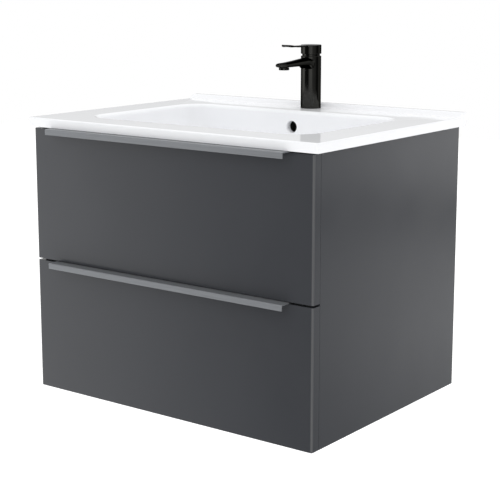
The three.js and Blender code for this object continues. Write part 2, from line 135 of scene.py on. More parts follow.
def spread(colour, amount):
    """Two colours a little darker and a little lighter than one."""
    return tuple(c * (1 - amount) for c in colour), tuple(c * (1 + amount) for c in colour)


def lacquer(name, colour):
    made, nodes, links, shader = material(name)
    wide = noise(nodes, links, object_space(nodes, links, (3, 3, 3)))
    dark, light = spread(colour, 0.04)
    links.new(ramp(nodes, links, wide, [(0.35, dark), (0.65, light)]), shader.inputs["Base Color"])
    smear = noise(nodes, links, object_space(nodes, links, (14, 14, 9)), detail=4)
    links.new(ramp(nodes, links, smear, [(0.3, 0.12), (0.7, 0.17)]), shader.inputs["Roughness"])
    peel = noise(nodes, links, object_space(nodes, links, (240, 240, 240)))
    bump(nodes, links, shader, peel, 0.0015 * MM, 0.2)
    shader.inputs["IOR"].default_value = 1.5
    return made


def melamine(name, colour, grain_axis, contrast=0.12, roughness=0.45):
    """Printed board: a fine grain that runs along one axis (0, 1 or 2)."""
    made, nodes, links, shader = material(name)
    stretch = [420, 420, 420]
    stretch[grain_axis] = 9
    grain = noise(nodes, links, object_space(nodes, links, stretch), detail=4)
    dark, light = spread(colour, contrast)
    links.new(ramp(nodes, links, grain, [(0.3, dark), (0.7, light)]), shader.inputs["Base Color"])
    shader.inputs["Roughness"].default_value = roughness
    bump(nodes, links, shader, grain, 0.05 * MM, 0.3)
    return made


def ceramic():
    made, nodes, links, shader = material("ceramic")
    wave = noise(nodes, links, object_space(nodes, links, (9, 9, 9)), detail=1)
    whites = [(0.3, (0.88, 0.888, 0.908)), (0.7, (0.895, 0.902, 0.918))]
    links.new(ramp(nodes, links, wave, whites), shader.inputs["Base Color"])
    links.new(ramp(nodes, links, wave, [(0.3, 0.04), (0.7, 0.07)]), shader.inputs["Roughness"])
    ripple = noise(nodes, links, object_space(nodes, links, (25, 25, 25)))
    bump(nodes, links, shader, ripple, 0.01 * MM, 0.2)
    shader.inputs["IOR"].default_value = 1.25
    return made


def black_plate():
    """Polished black nickel: dark metal with a sharp, dim reflection."""
    made, nodes, links, shader = material("black_plate")
    tone = noise(nodes, links, object_space(nodes, links, (30, 30, 30)))
    blacks = [(0.3, (0.039, 0.039, 0.0365)), (0.7, (0.047, 0.0465, 0.043))]
    links.new(ramp(nodes, links, tone, blacks), shader.inputs["Base Color"])
    wipe = noise(nodes, links, object_space(nodes, links, (60, 60, 25)), detail=4)
    links.new(ramp(nodes, links, wipe, [(0.3, 0.06), (0.7, 0.1)]), shader.inputs["Roughness"])
    shader.inputs["Metallic"].default_value = 1
    shader.inputs["Specular Tint"].default_value = (0.12, 0.12, 0.12, 1)
    return made


def brushed(name, colour, metallic, roughness, along=0):
    """Metal with fine brush marks along one axis (0, 1 or 2)."""
    made, nodes, links, shader = material(name)
    stretch = [1600, 1600, 1600]
    stretch[along] = 12
    marks = noise(nodes, links, object_space(nodes, links, stretch), detail=3)
    dark, light = spread(colour, 0.1)
    links.new(ramp(nodes, links, marks, [(0.3, dark), (0.7, light)]), shader.inputs["Base Color"])
    links.new(ramp(nodes, links, marks, [(0.3, roughness - 0.05), (0.7, roughness + 0.05)]),
              shader.inputs["Roughness"])
    bump(nodes, links, shader, marks, 0.01 * MM, 0.3)
    shader.inputs["Metallic"].default_value = metallic
    return made


def zinc():
    """Bright zinc plate with faint crystal patches."""
    made, nodes, links, shader = material("zinc")
    spangle = nodes.new("ShaderNodeTexVoronoi")
    spangle.inputs["Scale"].default_value = 1
    links.new(object_space(nodes, links, (160, 160, 160)), spangle.inputs["Vector"])
    patch = spangle.outputs["Color"]
    greys = [(0, (0.5, 0.52, 0.55)), (1, (0.66, 0.68, 0.7))]
    links.new(ramp(nodes, links, patch, greys), shader.inputs["Base Color"])
    links.new(ramp(nodes, links, patch, [(0, 0.26), (1, 0.4)]), shader.inputs["Roughness"])
    shader.inputs["Metallic"].default_value = 0.85
    return made


def machined_brass():
    made, nodes, links, shader = material("machined_brass")
    rings = noise(nodes, links, object_space(nodes, links, (60, 60, 2500)))
    golds = [(0.3, (0.5, 0.36, 0.14)), (0.7, (0.68, 0.52, 0.24))]
    links.new(ramp(nodes, links, rings, golds), shader.inputs["Base Color"])
    shader.inputs["Metallic"].default_value = 0.9
    shader.inputs["Roughness"].default_value = 0.3
    bump(nodes, links, shader, rings, 0.02 * MM, 0.4)
    return made


def speckled(name, colour, roughness, grain):
    made, nodes, links, shader = material(name)
    speck = noise(nodes, links, object_space(nodes, links, (grain, grain, grain)), detail=3)
    dark, light = spread(colour, 0.25)
    links.new(ramp(nodes, links, speck, [(0.3, dark), (0.7, light)]), shader.inputs["Base Color"])
    shader.inputs["Roughness"].default_value = roughness
    bump(nodes, links, shader, speck, 0.03 * MM, 0.4)
    return made


LOOKS = {
    "graphite_gloss": lacquer("graphite_lacquer", (0.043, 0.0455, 0.0515)),
    "graphite_board": melamine("graphite_melamine", (0.085, 0.085, 0.09), 0),
    "drawer_board": melamine("grey_melamine", (0.27, 0.275, 0.285), 1),
    "ceramic": ceramic(),
    "black_metal": black_plate(),
    "handle_aluminium": brushed("satin_aluminium", (0.235, 0.245, 0.26), 0.4, 0.38),
    "zinc_steel": zinc(),
    "brass": machined_brass(),
    "rubber": speckled("rubber", (0.02, 0.02, 0.02), 0.75, 500),
    "cartridge_plastic": speckled("cartridge_plastic", (0.72, 0.72, 0.7), 0.5, 300),
}
# Painted highlight: a lighter lacquer for the fronts' rounded upright edges, standing in for the light
# those bends catch.
PAINTED_EDGE_HIGHLIGHT = lacquer("painted_edge_highlight", (0.088, 0.09, 0.094))
# Painted shade: a near-black finish for the inside of the overflow's pocket, standing in for the shade deep
# in the channel.
POCKET_PAINTED_SHADE = speckled("pocket_painted_shade", (0.004, 0.004, 0.005), 0.9, 200)


# ---- Mesh tools (millimetres) ----

AXES = {
    "x": lambda u, v, w: Vector((w, u, v)),
    "y": lambda u, v, w: Vector((u, w, v)),
    "z": lambda u, v, w: Vector((u, v, w)),
}


def fillet(corners, steps=6):
    """An outline from (u, v, radius) corners: a corner with a radius becomes an arc."""
    points = []
    for i, (u, v, radius) in enumerate(corners):
        here = Vector((u, v))
        if radius == 0:
            points.append(here)
            continue
        before = (Vector(corners[i - 1][:2]) - here).normalized()
        after = (Vector(corners[(i + 1) % len(corners)][:2]) - here).normalized()
        half = before.angle(after) / 2
        centre = here + (before + after).normalized() * radius / math.sin(half)
        start = here + before * radius / math.tan(half) - centre
        end = here + after * radius / math.tan(half) - centre
        sweep = math.atan2(start.x * end.y - start.y * end.x, start.dot(end))
        for k in range(steps + 1):
            points.append(centre + Matrix.Rotation(sweep * k / steps, 2) @ start)
    return points


def rectangle(u0, u1, v0, v1, radius=0.0):
    return fillet([(u0, v0, radius), (u1, v0, radius), (u1, v1, radius), (u0, v1, radius)])


def anticlockwise(points):
    area = sum(a.x * b.y - b.x * a.y for a, b in zip(points, points[1:] + points[:1]))
    return points if area > 0 else points[::-1]


def inset(points, distance):
    """An anticlockwise outline moved inwards."""
    moved = []
    for i, here in enumerate(points):
        back = (here - points[i - 1]).normalized()
        ahead = (points[(i + 1) % len(points)] - here).normalized()
        left, right = Vector((-back.y, back.x)), Vector((-ahead.y, ahead.x))
        moved.append(here + (left + right) * distance / (1 + left.dot(right)))
    return moved


def bridge(rings, loop=False):
    """Joins rings of points. A ring of one point is a pole. Without a loop the ends are closed."""
    bm = bmesh.new()
    rows = [[bm.verts.new(point) for point in ring] for ring in rings]
    for a, b in zip(rows, rows[1:] + (rows[:1] if loop else [])):
        count = max(len(a), len(b))
        for j in range(count):
            k = (j + 1) % count
            corners = (a[j % len(a)], a[k % len(a)], b[k % len(b)], b[j % len(b)])
            bm.faces.new(dict.fromkeys(corners))
    if not loop:
        for row in (rows[0], rows[-1]):
            if len(row) > 2:
                bm.faces.new(row)
    bmesh.ops.remove_doubles(bm, verts=bm.verts[:], dist=0.002)
    return bm


def prism(outline, low, high, along, edge=0.3, steps=3):
    """An outline drawn out along an axis, with its end edges rounded."""
    outline = anticlockwise(outline)
    turns = [math.pi / 2 * k / steps for k in range(steps + 1)]
    ends = [(edge * (1 - math.sin(t)), edge * (1 - math.cos(t))) for t in turns]
    levels = [(inward, low + depth) for inward, depth in ends]
    levels += [(inward, high - depth) for inward, depth in reversed(ends)]
    return bridge([[AXES[along](*p, level) for p in inset(outline, inward)] for inward, level in levels])


def lathe(profile, centre, along="z", loop=False, steps=72):
    """A profile of (radius, height) turned about an axis through centre; height is measured from centre."""
    rings = []
    place = AXES[along]
    for radius, height in profile:
        turns = [2 * math.pi * k / steps for k in range(steps)] if radius else [0]
        rings.append([centre + place(radius * math.cos(t), radius * math.sin(t), height) for t in turns])
    return bridge(rings, loop)


def merge(*parts):
    """Several meshes in one, as they are."""
    whole = bmesh.new()
    for part in parts:
        data = bpy.data.meshes.new("part")
        part.to_mesh(data)
        part.free()
        whole.from_mesh(data)
        bpy.data.meshes.remove(data)
    return whole


def as_object(bm, name):
    bmesh.ops.recalc_face_normals(bm, faces=bm.faces[:])
    data = bpy.data.meshes.new(name)
    bm.to_mesh(data)
    bm.free()
    made = bpy.data.objects.new(name, data)
    scene.collection.objects.link(made)
    return made


def combine(base, operation, *others):
    """One solid joined with others (UNION) or cut by them (DIFFERENCE)."""
    target = as_object(base, "target")
    tools = [as_object(other, "tool") for other in others]
    for tool in tools:
        change = target.modifiers.new("combine", "BOOLEAN")
        change.operation = operation
        change.object = tool
        change.solver = "EXACT"
    result = bmesh.new()
    result.from_object(target, bpy.context.evaluated_depsgraph_get())
    for used in (target, *tools):
        bpy.data.meshes.remove(used.data)
    return result


def show(name, bm, body, slot, *nodes, smooth=35):
    """A fine piece: it rides on a body, takes a slot's material and stands for CAD nodes."""
    bm.transform(TO_FRAME)
    piece = as_object(bm, name)
    piece.data.materials.append(LOOKS[slot])
    piece.data.shade_smooth()
    piece.data.set_sharp_from_angle(angle=math.radians(smooth))
    steady = piece.modifiers.new("steady_normals", "WEIGHTED_NORMAL")
    steady.keep_sharp = True
    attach(piece, body)
    if nodes:
        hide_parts(*nodes)
    return piece


def stand_for(node, bm, smooth=35):
    return show("fine_" + node, bm, BODY_OF[node], SLOT_OF[node], node, smooth=smooth)


def keep(node, edge=0.5, segments=2):
    """A CAD node that stays, with a finish and softened edges."""
    piece = frame["nodes"][node]
    piece.data.materials.clear()
    piece.data.materials.append(LOOKS[SLOT_OF[node]])
    soften = piece.modifiers.new("broken_edge", "BEVEL")
    soften.width = edge * MM
    soften.segments = segments
    soften.limit_method = "ANGLE"
    soften.angle_limit = math.radians(40)
    soften.harden_normals = True


def screw_head(centre, radius, height, facing, sign=1):
    """A countersunk head with a cross recess, its face looking along an axis."""
    place = AXES[facing]

    def ring(size, level):
        points = []
        for k in range(24):
            turn = k * math.pi / 12
            points.append(centre + place(size(k) * math.cos(turn), size(k) * math.sin(turn), sign * level))
        return points

    def cross(k):
        return radius * (0.58 if k % 6 in (0, 1, 5) else 0.2)

    def disc(share):
        return lambda k: radius * share

    def recess(k):
        return cross(k) * 0.75

    return bridge([
        ring(disc(0.95), -0.1), ring(disc(1), 0.1), ring(disc(0.96), height * 0.7), ring(disc(0.8), height),
        ring(cross, height), ring(recess, height * 0.2),
    ])


def hexagon_nut(centre, radius, bore, low, high):
    """A six-sided nut with chamfered corners round an upright hole."""
    def ring(size, level):
        turns = [math.radians(5 * k) for k in range(72)]
        return [centre + Vector((size(t) * math.cos(t), size(t) * math.sin(t), level)) for t in turns]

    def six(limit):
        flat = radius * math.cos(math.pi / 6)
        return lambda t: min(limit, flat / math.cos((t + math.pi / 6) % (math.pi / 3) - math.pi / 6))

    chamfer = radius * 0.09
    return bridge([
        ring(lambda t: bore, low), ring(lambda t: bore, high), ring(six(radius * 0.88), high),
        ring(six(radius), high - chamfer), ring(six(radius), low + chamfer), ring(six(radius * 0.88), low),
    ], loop=True)


def thread(low, high, outer, depth, pitch):
    """Points of a threaded side, from low to high."""
    turns = int((high - low) / pitch)
    points = []
    for k in range(turns):
        z = low + k * pitch
        points += [(outer - depth, z), (outer, z + pitch * 0.4), (outer, z + pitch * 0.6)]
    return points + [(outer - depth, low + turns * pitch)]


# ---- Basin ----

BASIN_LOW, BASIN_HIGH = span("basin")
BASIN_HALF = BASIN_HIGH.x
UNDER = span("tap_washer")[1].z + 0.3  # underside of the basin's edge
RIM = span("tap_gasket")[0].z - 0.15
TAP = middle("tap_gasket")
TAP_HOLE = 17.5
DRAIN = middle("waste_gasket")
DRAIN_BORE = 23
OVERFLOW = {"z": 455, "radius": 10.5, "pocket": 13.5, "start": 11.4}
BOWL = {"half_width": 228, "front": 66, "back": 360.5, "corner": 42, "depth": 110}
SLOPE = {"side": 110, "front": 45, "back": 30}
WALL = 9


def level_ring(half, front, back, corner, z, steps=14):
    """Points round a level rectangle with round corners."""
    points = []
    for x, y, start in ((half - corner, front + corner, -90), (half - corner, back - corner, 0),
                        (corner - half, back - corner, 90), (corner - half, front + corner, 180)):
        for k in range(steps + 1):
            angle = math.radians(start + 90 * k / steps)
            points.append(Vector((x + corner * math.cos(angle), y + corner * math.sin(angle), z)))
    return points


def bowl_ring(degrees, grow=0.0):
    """The bowl at an angle from 0 at the rim to 90 at its floor, grown by a thickness."""
    angle = math.radians(degrees)
    run = 1 - math.cos(angle)
    half = BOWL["half_width"] + grow - SLOPE["side"] * run
    front = BOWL["front"] - grow + SLOPE["front"] * run
    back = BOWL["back"] + grow - SLOPE["back"] * run
    drop = (BOWL["depth"] + grow) * math.sin(angle)
    return level_ring(half, front, back, BOWL["corner"] + grow, RIM - drop)


def rim_ring(inward, z):
    front, back = BASIN_LOW.y + inward, BASIN_HIGH.y - inward
    return level_ring(BASIN_HALF - inward, front, back, max(4 - inward, 1), z)


def lip_ring(degrees):
    """The soft edge where the deck rolls into the bowl."""
    angle = math.radians(degrees)
    outward, drop = 9 * (1 - math.sin(angle)), 8 * (1 - math.cos(angle))
    return level_ring(BOWL["half_width"] + outward, BOWL["front"] - outward, BOWL["back"] + outward,
                      BOWL["corner"] + outward, RIM - drop)


def drain_ring(radius, z):
    return level_ring(radius, DRAIN.y - radius, DRAIN.y + radius, radius, z)


def basin_shell():
    bottom = RIM - BOWL["depth"] - WALL
    shell_start = math.degrees(math.asin((RIM - UNDER) / (BOWL["depth"] + WALL)))
    shell = [bowl_ring(90 + (shell_start - 90) * k / 14, WALL) for k in range(15)]
    drip = UNDER - 1  # the edge hangs this low round the underside
    edge = [rim_ring(4.2, UNDER), rim_ring(3.6, drip + 0.1)]
    edge += [rim_ring(0.6 * (1 - math.sin(t)), drip + 0.6 * (1 - math.cos(t)))
             for t in (math.radians(30 * k) for k in range(4))]
    roll = [rim_ring(2.6 * (1 - math.cos(t)), RIM - 2.6 * (1 - math.sin(t)))
            for t in (math.radians(15 * k) for k in range(7))]
    lip = [lip_ring(10 * k) for k in range(9)]
    bowl = [bowl_ring(5 + 85 * k / 24) for k in range(25)]
    floor = RIM - BOWL["depth"]
    drain = [drain_ring(38, floor - 1), drain_ring(30, floor - 1.6), drain_ring(DRAIN_BORE + 1, floor - 2),
             drain_ring(DRAIN_BORE, floor - 3)]
    return bridge([drain_ring(DRAIN_BORE, bottom), *shell, *edge, *roll, *lip, *bowl, *drain], loop=True)


def upstand():
    """The low ridge along the wall: the deck sweeps up to it."""
    foot, crest, rise = 436, 449, BASIN_HIGH.z - RIM
    sweep = []
    for k in range(1, 15):
        share = k / 14
        sweep.append(Vector((foot + (crest - foot) * share, RIM + rise * share * share * (3 - 2 * share))))
    back = BASIN_HIGH.y - 0.03
    top = RIM + rise
    outline = [Vector((back, RIM - 2.4)), Vector((foot, RIM - 2.4)), Vector((foot, RIM - 0.02)), *sweep]
    outline += [Vector((back - 2 * (1 - math.sin(t)), top - 2 * (1 - math.cos(t))))
                for t in (math.radians(18 * k) for k in range(6))]
    half = BASIN_HALF - 0.03

    def section(x):
        """The outline across the ridge; it drops over the last 2 mm before each end."""
        into_end = min(max(1 - (half - abs(x)) / 2, 0), 1)
        share = 1 - 2 / rise * (1 - math.sqrt(1 - into_end ** 2))
        return [Vector((x, p.x, RIM + (p.y - RIM) * (share if p.y > RIM else 1))) for p in outline]

    steps = [2 * (1 - math.sin(math.radians(18 * k))) for k in range(6)]
    left_end = [section(step - half) for step in reversed(steps)]
    return bridge(left_end + [section(half - step) for step in steps])


def add_basin():
    overflow = Vector((0, BOWL["back"] - 1.2, OVERFLOW["z"]))
    radius, pocket, start = OVERFLOW["radius"], OVERFLOW["pocket"], OVERFLOW["start"]
    boss = prism(rectangle(-24, 24, BOWL["back"] + 3, BOWL["back"] + 32, 5), 428, UNDER + 2, "z", edge=3)
    mouth = lathe([
        (0, -20), (radius + 3.5, -20), (radius + 3.5, -1.6), (radius + 1.5, 0.2), (radius + 0.5, 1.2),
        (radius, 3), (radius, start), (pocket, start), (pocket, 26), (0, 26)], overflow, "y")
    tap_axis = Vector((0, TAP.y, 0))
    tap_hole = lathe([(0, UNDER - 5), (TAP_HOLE, UNDER - 5), (TAP_HOLE, RIM + 5), (0, RIM + 5)], tap_axis)
    body = combine(basin_shell(), "UNION", upstand(), boss)
    body = combine(body, "DIFFERENCE", mouth, tap_hole)
    piece = stand_for("basin", body, smooth=40)
    # Painted shade: the faces inside the overflow's pocket take the near-black finish.
    piece.data.materials.append(POCKET_PAINTED_SHADE)
    dark = overflow + Vector((0, start - 0.1, 0))
    for face in piece.data.polygons:
        offset = (face.center - FOOT) / MM - dark
        if -0.1 < offset.y < 15 and math.hypot(offset.x, offset.z) < pocket + 0.1:
            face.material_index = 1


# ---- Waste ----

def add_waste():
    seat = span("waste_gasket")[1].z + 7.3  # the flange's underside, on the bowl's floor
    tail = span("waste_body")[0].z
    axis = Vector((0, DRAIN.y, 0))
    outer, bore = 20.95, 17
    side = [(bore, tail + 0.5), (bore + 0.5, tail), (outer - 1.2, tail)]
    side += thread(tail + 1, seat - 3, outer, 1.1, 2.3)
    flange = [(outer - 1.1, seat), (33.6, seat), (34, seat + 0.4), (33.8, seat + 1.1), (33, seat + 1.7),
              (31, seat + 2.4), (bore + 3.4, seat + 2.5), (bore + 1.6, seat + 1.6), (bore, seat - 2)]
    body = lathe(side + flange, axis, loop=True)
    bar = prism(rectangle(-bore - 1, bore + 1, DRAIN.y - 4, DRAIN.y + 4, 1), 345, 352, "z", edge=0.8)
    stem_hole = lathe([(0, 340), (5.3, 340), (5.3, 356), (0, 356)], axis)
    stand_for("waste_body", combine(combine(body, "UNION", bar), "DIFFERENCE", stem_hole))

    under = seat + 3.2
    turns = [math.radians(9 * k) for k in range(9)]
    dome = [(31 * math.cos(t), under + 1.4 + 4.2 * math.sin(t)) for t in turns]
    stem = [(0, 342), (4.4, 342), (5, 342.6), *thread(343.5, 349, 5, 0.5, 1), (4.2, 350.5), (4.2, under)]
    plug = [*stem, (29, under), (30.4, under + 0.4), *dome, (0, under + 5.6)]
    stand_for("waste_plug", lathe(plug, axis))

    low, high = span("waste_gasket")
    ring = fillet([(21.3, low.z, 0.6), (32, low.z, 1), (32, high.z, 1), (21.3, high.z, 0.6)])
    stand_for("waste_gasket", lathe([(p.x, p.y) for p in ring], axis, loop=True))
    low, high = span("waste_nut")
    stand_for("waste_nut", hexagon_nut(axis, 33, 21.25, low.z, high.z))


# ---- Tap ----

TAP_RADIUS = 18.8
SPOUT_TIP_RADIUS = 12
CARTRIDGE_POCKET = 14.3
OUTLET_POCKET = 7.9


def upright_ring(y, half_width, bottom, top, crown, base, count=48):
    """A rounded box across the spout: its crown can be rounder than its base."""
    points = []
    for k in range(count):
        turn = 2 * math.pi * k / count
        across, up = math.cos(turn), math.sin(turn)
        power = 2 / (crown if up >= 0 else base)
        height = math.copysign(abs(up) ** power, up)
        side = math.copysign(abs(across) ** power, across)
        points.append(Vector((side * half_width, y, (bottom + top) / 2 + height * (top - bottom) / 2)))
    return points


def smoothstep(value, low, high):
    share = min(max((value - low) / (high - low), 0), 1)
    return share * share * (3 - 2 * share)


def hump(value, centre, reach):
    return max(1 - ((value - centre) / reach) ** 2, 0) ** 2


def spout():
    """Drawn from inside the body to the round tip; near the body its underside sweeps down."""
    low, high = span("tap_body")
    tip_radius = SPOUT_TIP_RADIUS
    centre, root = low.y + tip_radius, TAP.y - 6
    outlet = span("tap_aerator")[0].z
    underside, tip_top, root_top = outlet + 4.5, outlet + 13, high.z - 1.4
    body_front = TAP.y - TAP_RADIUS
    rings = []
    for k in range(25):
        y = root + (centre - root) * k / 24
        share = (y - centre) / (root - centre)
        sweep = min(max((y - body_front + 9) / 9, 0), 1)
        drop = smoothstep(y, body_front - 28, body_front) + 6 * (1 - math.sqrt(1 - sweep * sweep))
        rings.append(upright_ring(y, tip_radius + 4 * share, underside - drop,
                                  tip_top + (root_top - tip_top) * share ** 1.35, 2.3, 3.2))
    for angle in range(8, 89, 8):
        turn = math.radians(angle)
        pinch = 1 - math.cos(turn)
        rings.append(upright_ring(centre - tip_radius * math.sin(turn), tip_radius * math.cos(turn),
                                  underside + 3.2 * pinch, tip_top - 4.8 * pinch, 2.3, 3.2))
    return bridge(rings)


def add_tap_body():
    low, high = span("tap_body")
    axis = Vector((0, TAP.y, 0))
    foot, top, radius = low.z, high.z, TAP_RADIUS
    profile = fillet([(0, foot, 0), (radius, foot, 0.3), (radius, top, 0.8), (0, top, 0)], steps=4)
    body = lathe([(p.x, p.y) for p in profile], axis, steps=96)
    deep, wide = span("tap_cartridge")[0].z - 0.3, CARTRIDGE_POCKET
    pocket = lathe([(0, deep), (wide, deep), (wide, top + 2), (0, top + 2)], axis)
    outlet = Vector((0, middle("tap_aerator").y, 0))
    floor = span("tap_aerator")[0].z
    wide = OUTLET_POCKET
    socket = lathe([(0, floor - 1), (wide, floor - 1), (wide, floor + 7), (0, floor + 7)], outlet)
    stand_for("tap_body", combine(combine(body, "UNION", spout()), "DIFFERENCE", pocket, socket), smooth=40)

    stand_for("tap_aerator", lathe([
        (0, floor + 1.2), (1.6, floor + 1.2), (2, floor + 0.9), (3.4, floor + 0.9), (3.8, floor + 1.6),
        (4.6, floor + 1.6), (5, floor + 0.9), (6, floor + 0.9), (6.4, floor + 1.8), (7, floor + 1.8),
        (7.2, floor), (8.9, floor), (9.4, floor + 0.5), (9.4, floor + 3.9), (9.1, floor + 4.2),
        (7.6, floor + 4.2), (7.6, floor + 6), (0, floor + 6)], outlet))
    low, high = span("tap_neck_ring")
    edge = fillet([(8, low.z, 0.2), (16.5, low.z, 0.2), (16.5, high.z, 0.4), (8, high.z, 0.2)])
    stand_for("tap_neck_ring", lathe([(p.x, p.y) for p in edge], axis, loop=True))


def lever_plate(top):
    """Cap and lever in one plate seen from above: a disc, a waist and a paddle that rises to its tip."""
    low, high = span("tap_lever")
    tip, paddle, waist = low.y, low.y + 17, low.y + 39
    disc = high.x - 0.03
    paddle_half, waist_half = 10, 6.2

    def half_width(y):
        if y < paddle:
            arm = paddle_half * math.sqrt(max(1 - ((paddle - y) / (paddle - tip)) ** 2, 0))
        else:
            arm = paddle_half - (paddle_half - waist_half) * smoothstep(y, paddle, waist)
        cap = math.sqrt(max(disc ** 2 - (y - TAP.y) ** 2, 0))
        corner = max(1 - abs(cap - arm) / 8, 0) if waist < y < TAP.y - 8 else 0
        return max(arm if y < TAP.y else 0, cap) + 2 * corner ** 2

    stations = [tip + (paddle - tip) * (1 - math.cos(math.radians(6 * k))) for k in range(1, 15)]
    cap_front = TAP.y - disc
    stations += [paddle + (cap_front - 1 - paddle) * k / 14 for k in range(15)]
    degrees = (6, 12, 18, 25, 33, 41, 50, *range(60, 171, 10))
    stations += [TAP.y - disc * math.cos(math.radians(turn)) for turn in degrees]
    right = [Vector((half_width(y), y)) for y in stations]
    left = [Vector((-p.x, p.y)) for p in reversed(right)]
    outline = [Vector((0, tip)), *right, Vector((0, TAP.y + disc)), *left]
    plate = prism(outline, top - 3, top, "z", edge=0.9, steps=4)
    rise = high.z - top
    for vertex in plate.verts:
        y = vertex.co.y
        thickness = 3 + 1.1 * hump(y, tip + 11, 14) - 0.5 * hump(y, waist - 8, 14)
        vertex.co.z = top + rise * (1 - smoothstep(y, tip, waist)) - (top - vertex.co.z) * thickness / 3
    return plate


def add_lever():
    low, high = span("tap_lever")
    axis = Vector((0, TAP.y, 0))
    outer, inner = high.x, high.x - 1.5
    bottom, top = low.z, high.z - 3.3  # the lever rises 3.3 above the cap
    skirt = fillet([(0, top - 4.5, 0), (inner, top - 4.5, 1), (inner, bottom, 0.2), (outer, bottom, 0.4),
                    (outer, top - 1.2, 0), (0, top - 1.2, 0)], steps=4)
    cap = lathe([(p.x, p.y) for p in skirt], axis, steps=96)
    stand_for("tap_lever", combine(cap, "UNION", lever_plate(top)), smooth=40)


def add_tap_fixing():
    low, high = span("tap_stud")
    stud = Vector(((low.x + high.x) / 2, (low.y + high.y) / 2, 0))
    stand_for("tap_stud", lathe([(0, low.z), (2, low.z), *thread(low.z + 0.6, high.z - 2, 3, 0.4, 1),
                                 (2.6, high.z), (0, high.z)], stud, steps=32))
    for name in ("tap_inlet_hot", "tap_inlet_cold"):
        low, high = span(name)
        axis = Vector(((low.x + high.x) / 2, (low.y + high.y) / 2, 0))
        profile = [(3, low.z), (4.2, low.z), *thread(low.z + 0.6, low.z + 14, 5, 0.6, 1), (4.4, low.z + 15),
                   (4.6, high.z), (3, high.z)]
        stand_for(name, lathe(profile, axis, loop=True, steps=40))
    low, high = span("tap_nut")
    stand_for("tap_nut", hexagon_nut(stud, 6.5, 3.3, low.z, high.z))


# ---- Fronts and handles ----

def add_front(drawer):
    """A board with rounded upright edges, a painted highlight in lighter lacquer on the bend, and a seal
    along the back of each side.
    """
    low, high = span(drawer + "_front")
    radius, seal, width = 3, 0.7, 8
    outline = fillet([
        (low.x, low.y, radius), (high.x, low.y, radius), (high.x, high.y + seal, 0.4),
        (high.x - width, high.y + seal, 0.3), (high.x - width, high.y, 0), (low.x + width, high.y, 0),
        (low.x + width, high.y + seal, 0.3), (low.x, high.y + seal, 0.4),
    ], steps=10)
    piece = stand_for(drawer + "_front", prism(outline, low.z, high.z, "z", edge=0.2, steps=2), smooth=30)
    # Painted highlight: the faces on the rounded upright edges take the lighter lacquer.
    piece.data.materials.append(PAINTED_EDGE_HIGHLIGHT)
    for face in piece.data.polygons:
        at = (face.center - FOOT) / MM
        if abs(at.x) > high.x - radius and at.y < low.y + radius and low.z + 1 < at.z < high.z - 1:
            face.material_index = 1


def add_handle(drawer):
    """A bent strip: its seat lies on the front's top edge and its lip hangs in front."""
    low, high = span(drawer + "_handle")
    gauge = 1.9
    under = high.z - gauge
    outline = fillet([
        (low.y, low.z, 0.6), (low.y + gauge, low.z, 0.6), (low.y + gauge, under, 0.8), (high.y, under, 0.4),
        (high.y, high.z, 0.4), (low.y, high.z, 1.6),
    ], steps=5)
    heads = [screw_head(Vector((x, high.y - 7, high.z - 0.35)), 3.2, 0.3, "z") for x in (-215, 0, 215)]
    stand_for(drawer + "_handle", merge(prism(outline, low.x, high.x, "x", edge=0.35), *heads))


# ---- Runners ----

def add_runner(drawer, side, member):
    """A bent steel channel with slots in its web; its open side faces the next member."""
    name = f"{drawer}_runner_{member}_{side}"
    low, high = span(name)
    opens_left = (side == "right") != (member == "inner")
    web, tips = (high.x, low.x) if opens_left else (low.x, high.x)
    gauge = math.copysign(1.2, tips - web)
    outline = fillet([
        (web, low.z, 2), (tips, low.z, 0.3), (tips, low.z + 1.2, 0.3), (web + gauge, low.z + 1.2, 1),
        (web + gauge, high.z - 1.2, 1), (tips, high.z - 1.2, 0.3), (tips, high.z, 0.3), (web, high.z, 2),
    ], steps=4)
    channel = prism(outline, low.y, high.y, "y", edge=0.25, steps=2)
    z = (low.z + high.z) / 2
    places = {"outer": (37, 165, 293), "middle": (120, 330), "inner": (60, 190, 350)}[member]
    near, far = min(web, web + gauge) - 2, max(web, web + gauge) + 2
    slots = [rectangle(low.y + y - 11, low.y + y + 11, z - 3.2, z + 3.2, 3.19) for y in places]
    cutters = [prism(slot, near, far, "x", edge=0.1, steps=1) for slot in slots]
    channel = combine(channel, "DIFFERENCE", *cutters)
    heads = []
    if member != "middle":
        sign = 1 if tips > web else -1
        heads = [screw_head(Vector((web + gauge, low.y + y + 22, z)), 3.4, 1.1, "x", sign) for y in places]
    stand_for(name, merge(channel, *heads))


def add_balls(drawer, side):
    """Bearing balls between the members, riding with the middle one."""
    outer = span(f"{drawer}_runner_outer_{side}")
    low, high = span(f"{drawer}_runner_middle_{side}")
    z = (low.z + high.z) / 2
    x = (max(outer[0].x, low.x) + min(outer[1].x, high.x)) / 2
    bm = bmesh.new()
    for height, start in ((20, high.y - 190), (16.1, low.y + 20)):
        for sign in (-1, 1):
            for k in range(12):
                spot = Matrix.Translation((x, start + 14 * k, z + sign * height))
                bmesh.ops.create_uvsphere(bm, u_segments=12, v_segments=8, radius=1.25, matrix=spot)
    slot = SLOT_OF[f"{drawer}_runner_middle_{side}"]
    show(f"{drawer}_runner_balls_{side}", bm, BODY_OF[f"{drawer}_runner_middle_{side}"], slot)


# ---- Hanging ----

